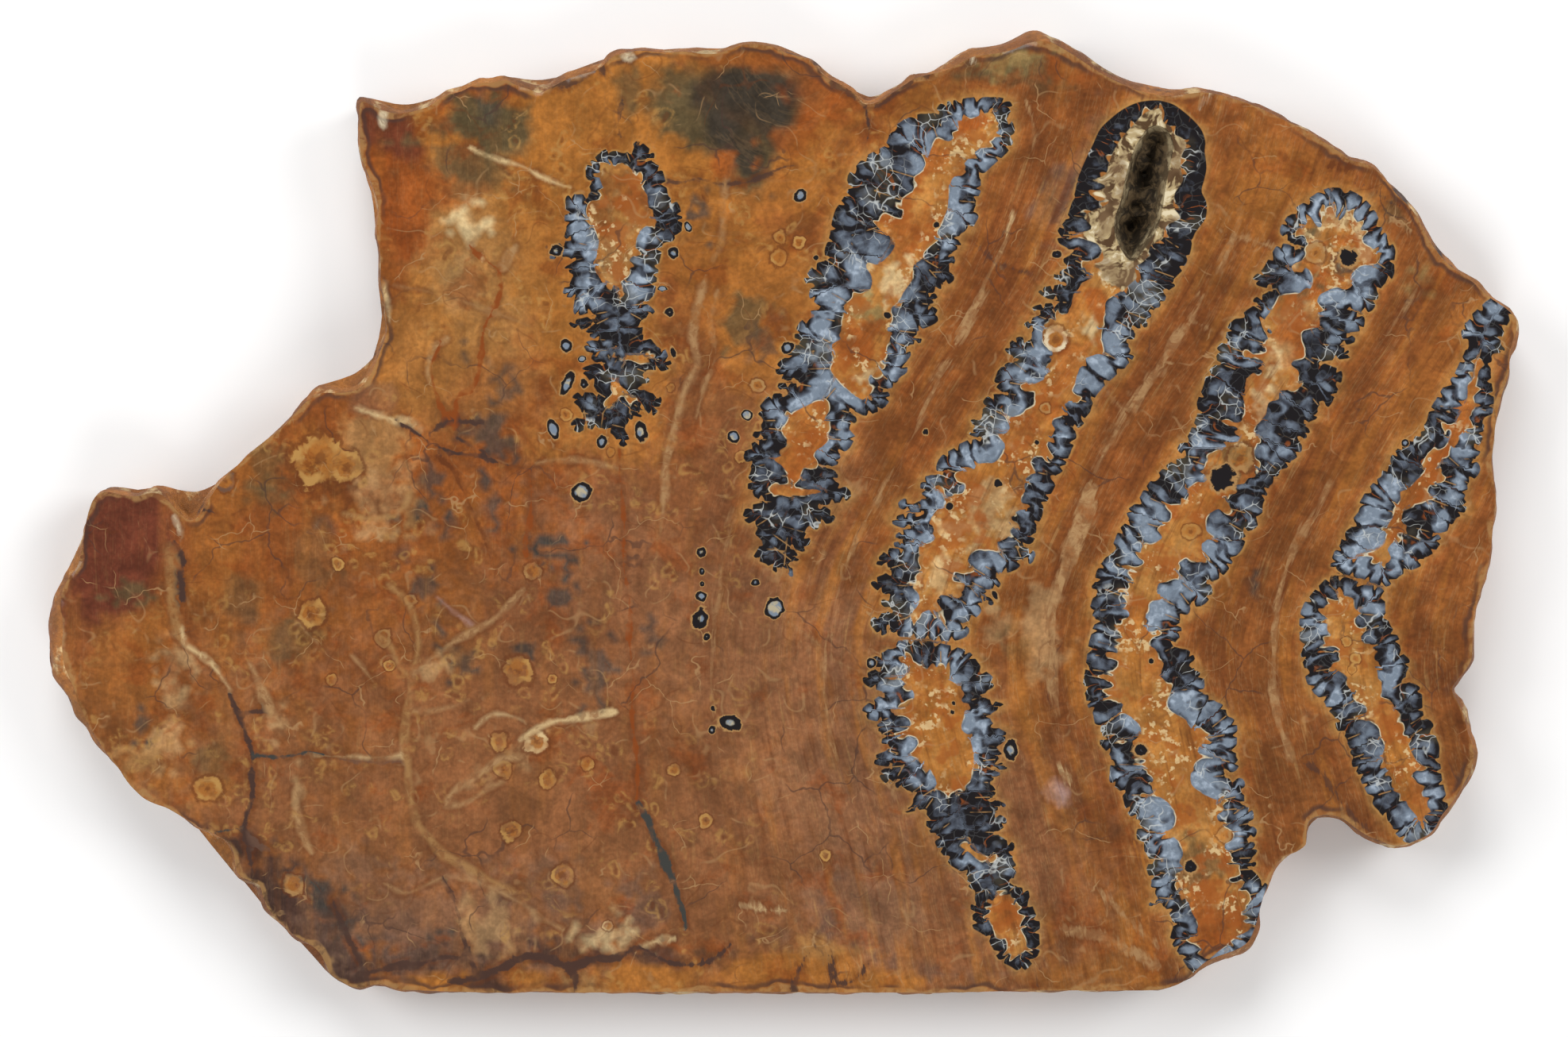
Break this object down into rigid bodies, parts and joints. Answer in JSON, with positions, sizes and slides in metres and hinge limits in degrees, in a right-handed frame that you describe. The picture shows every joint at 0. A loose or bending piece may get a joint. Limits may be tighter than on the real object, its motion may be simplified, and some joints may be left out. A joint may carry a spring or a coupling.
{
  "type": "mammoth tooth slice",
  "caption": "Flat polished slice of a fossil woolly mammoth molar, with blue-black enamel plates in orange-brown stone and a natural scalloped rim",
  "frame": {"origin": "middle of the slice's bounding box, on the flat face that it rests on", "axes": "+X along the slice's length to the end with the full enamel plates, +Y to the side with the scalloped cement rim, +Z out of the polished face"},
  "size_m": [0.1202, 0.0785, 0.007],
  "materials": {
    "tooth_slice": "gloss"
  },
  "bodies": {
    "root": {"tooth_slice": "tooth_slice"}
  },
  "joints": []
}
